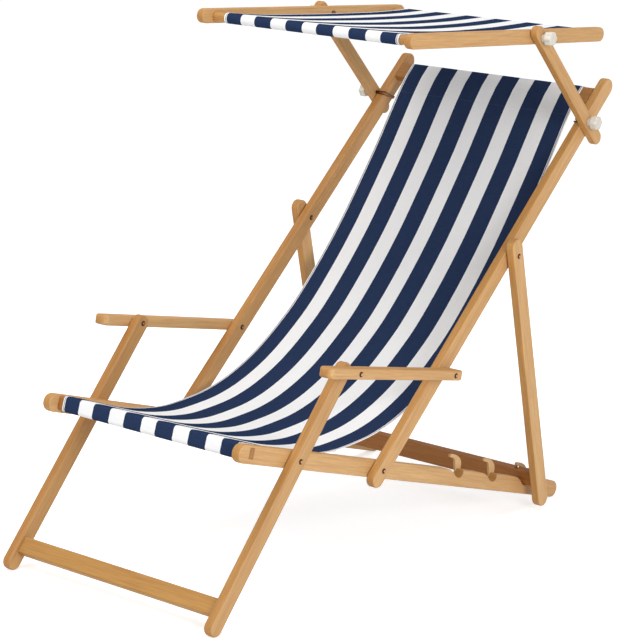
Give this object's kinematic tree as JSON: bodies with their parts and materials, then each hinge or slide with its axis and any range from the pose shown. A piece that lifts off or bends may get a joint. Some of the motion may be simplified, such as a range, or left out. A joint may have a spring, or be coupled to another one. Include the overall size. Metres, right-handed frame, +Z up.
{
  "type": "sun lounger with canopy",
  "caption": "Wooden folding sun lounger with armrests, a striped fabric sling, a reclining back held by notched seat rails and a tilting clamp-on fabric sun canopy.",
  "frame": {"origin": "middle of the footprint, on the floor", "axes": "+Z up; the sitter faces -Y; +X is to the sitter's left"},
  "size_m": [0.6108, 1.2288, 1.0277],
  "materials": {
    "beech": "satin",
    "pale_beech": "satin",
    "bronze": "satin",
    "ivory": "matte",
    "striped_cloth": "matte"
  },
  "bodies": {
    "seat_frame": {"seat_rail_left": "beech", "seat_rail_right": "beech", "seat_front_bar": "beech", "sling": "striped_cloth", "catch_hook_1_left": "pale_beech", "catch_hook_1_right": "pale_beech", "catch_hook_2_left": "pale_beech", "catch_hook_2_right": "pale_beech", "catch_hook_3_left": "pale_beech", "catch_hook_3_right": "pale_beech", "rivet_seat_leg_left": "bronze", "rivet_seat_leg_right": "bronze", "rivet_seat_back_left": "bronze", "rivet_seat_back_right": "bronze"},
    "front_legs": {"leg_left": "beech", "leg_right": "beech", "leg_stretcher": "beech"},
    "back_frame": {"back_rail_left": "beech", "back_rail_right": "beech", "back_top_bar": "beech", "clamp_wire_left": "bronze", "clamp_wire_right": "bronze", "rivet_armrest_back_left": "bronze", "rivet_armrest_back_right": "bronze", "rivet_prop_left": "bronze", "rivet_prop_right": "bronze", "prop_washer_left": "bronze", "prop_washer_right": "bronze"},
    "armrests": {"armrest_left": "beech", "armrest_right": "beech", "rivet_armrest_leg_left": "bronze", "rivet_armrest_leg_right": "bronze"},
    "prop_frame": {"prop_leg_left": "beech", "prop_leg_right": "beech", "prop_crossbar": "beech"},
    "canopy_arms": {"canopy_arm_left": "beech", "canopy_arm_right": "beech"},
    "canopy_frame": {"canopy_rail_left": "beech", "canopy_rail_right": "beech", "canopy_front_bar": "beech", "canopy_rear_bar": "beech", "canopy_cloth": "striped_cloth", "canopy_bolt_left": "bronze", "canopy_bolt_right": "bronze"},
    "knob_lower_left": {"knob_lower_left": "ivory"},
    "knob_upper_left": {"knob_upper_left": "ivory"},
    "knob_lower_right": {"knob_lower_right": "ivory"},
    "knob_upper_right": {"knob_upper_right": "ivory"}
  },
  "joints": [
    {"name": "back_raise", "type": "hinge", "parent": "seat_frame", "child": "back_frame", "pos_m": [0, -0.12507, 0.20114], "axis": [1, 0, 0], "range_deg": [0, 18], "deforming": ["sling"]},
    {"name": "leg_fold", "type": "hinge", "parent": "seat_frame", "child": "front_legs", "pos_m": [0, -0.37524, 0.27553], "axis": [1, 0, 0], "range_deg": [0, 20.71]},
    {"name": "armrest_turn", "type": "hinge", "parent": "back_frame", "child": "armrests", "pos_m": [0, 0.04945, 0.36149], "axis": [1, 0, 0], "range_deg": [-15.97, 0]},
    {"name": "prop_swing", "type": "hinge", "parent": "back_frame", "child": "prop_frame", "pos_m": [0, 0.26757, 0.56189], "axis": [1, 0, 0], "range_deg": [-19.8, 0]},
    {"name": "canopy_lift", "type": "hinge", "parent": "back_frame", "child": "canopy_arms", "pos_m": [0, 0.50406, 0.80451], "axis": [1, 0, 0], "range_deg": [-18, 30]},
    {"name": "canopy_tilt", "type": "hinge", "parent": "canopy_arms", "child": "canopy_frame", "pos_m": [0, 0.3235, 0.99018], "axis": [1, 0, 0], "range_deg": [-40, 40]},
    {"name": "knob_lower_left_turn", "type": "hinge", "parent": "back_frame", "child": "knob_lower_left", "pos_m": [0, 0.50406, 0.80451], "axis": [1, 0, 0], "continuous": true},
    {"name": "knob_upper_left_turn", "type": "hinge", "parent": "canopy_frame", "child": "knob_upper_left", "pos_m": [0, 0.3235, 0.99018], "axis": [1, 0, 0], "continuous": true},
    {"name": "knob_lower_right_turn", "type": "hinge", "parent": "back_frame", "child": "knob_lower_right", "pos_m": [0, 0.50406, 0.80451], "axis": [1, 0, 0], "continuous": true},
    {"name": "knob_upper_right_turn", "type": "hinge", "parent": "canopy_frame", "child": "knob_upper_right", "pos_m": [0, 0.3235, 0.99018], "axis": [1, 0, 0], "continuous": true}
  ],
  "couplings": [
    {"joint": "leg_fold", "follows": "back_raise", "ratio": 1.1504},
    {"joint": "armrest_turn", "follows": "back_raise", "ratio": -0.8868},
    {"joint": "prop_swing", "follows": "back_raise", "ratio": -1.1}
  ]
}
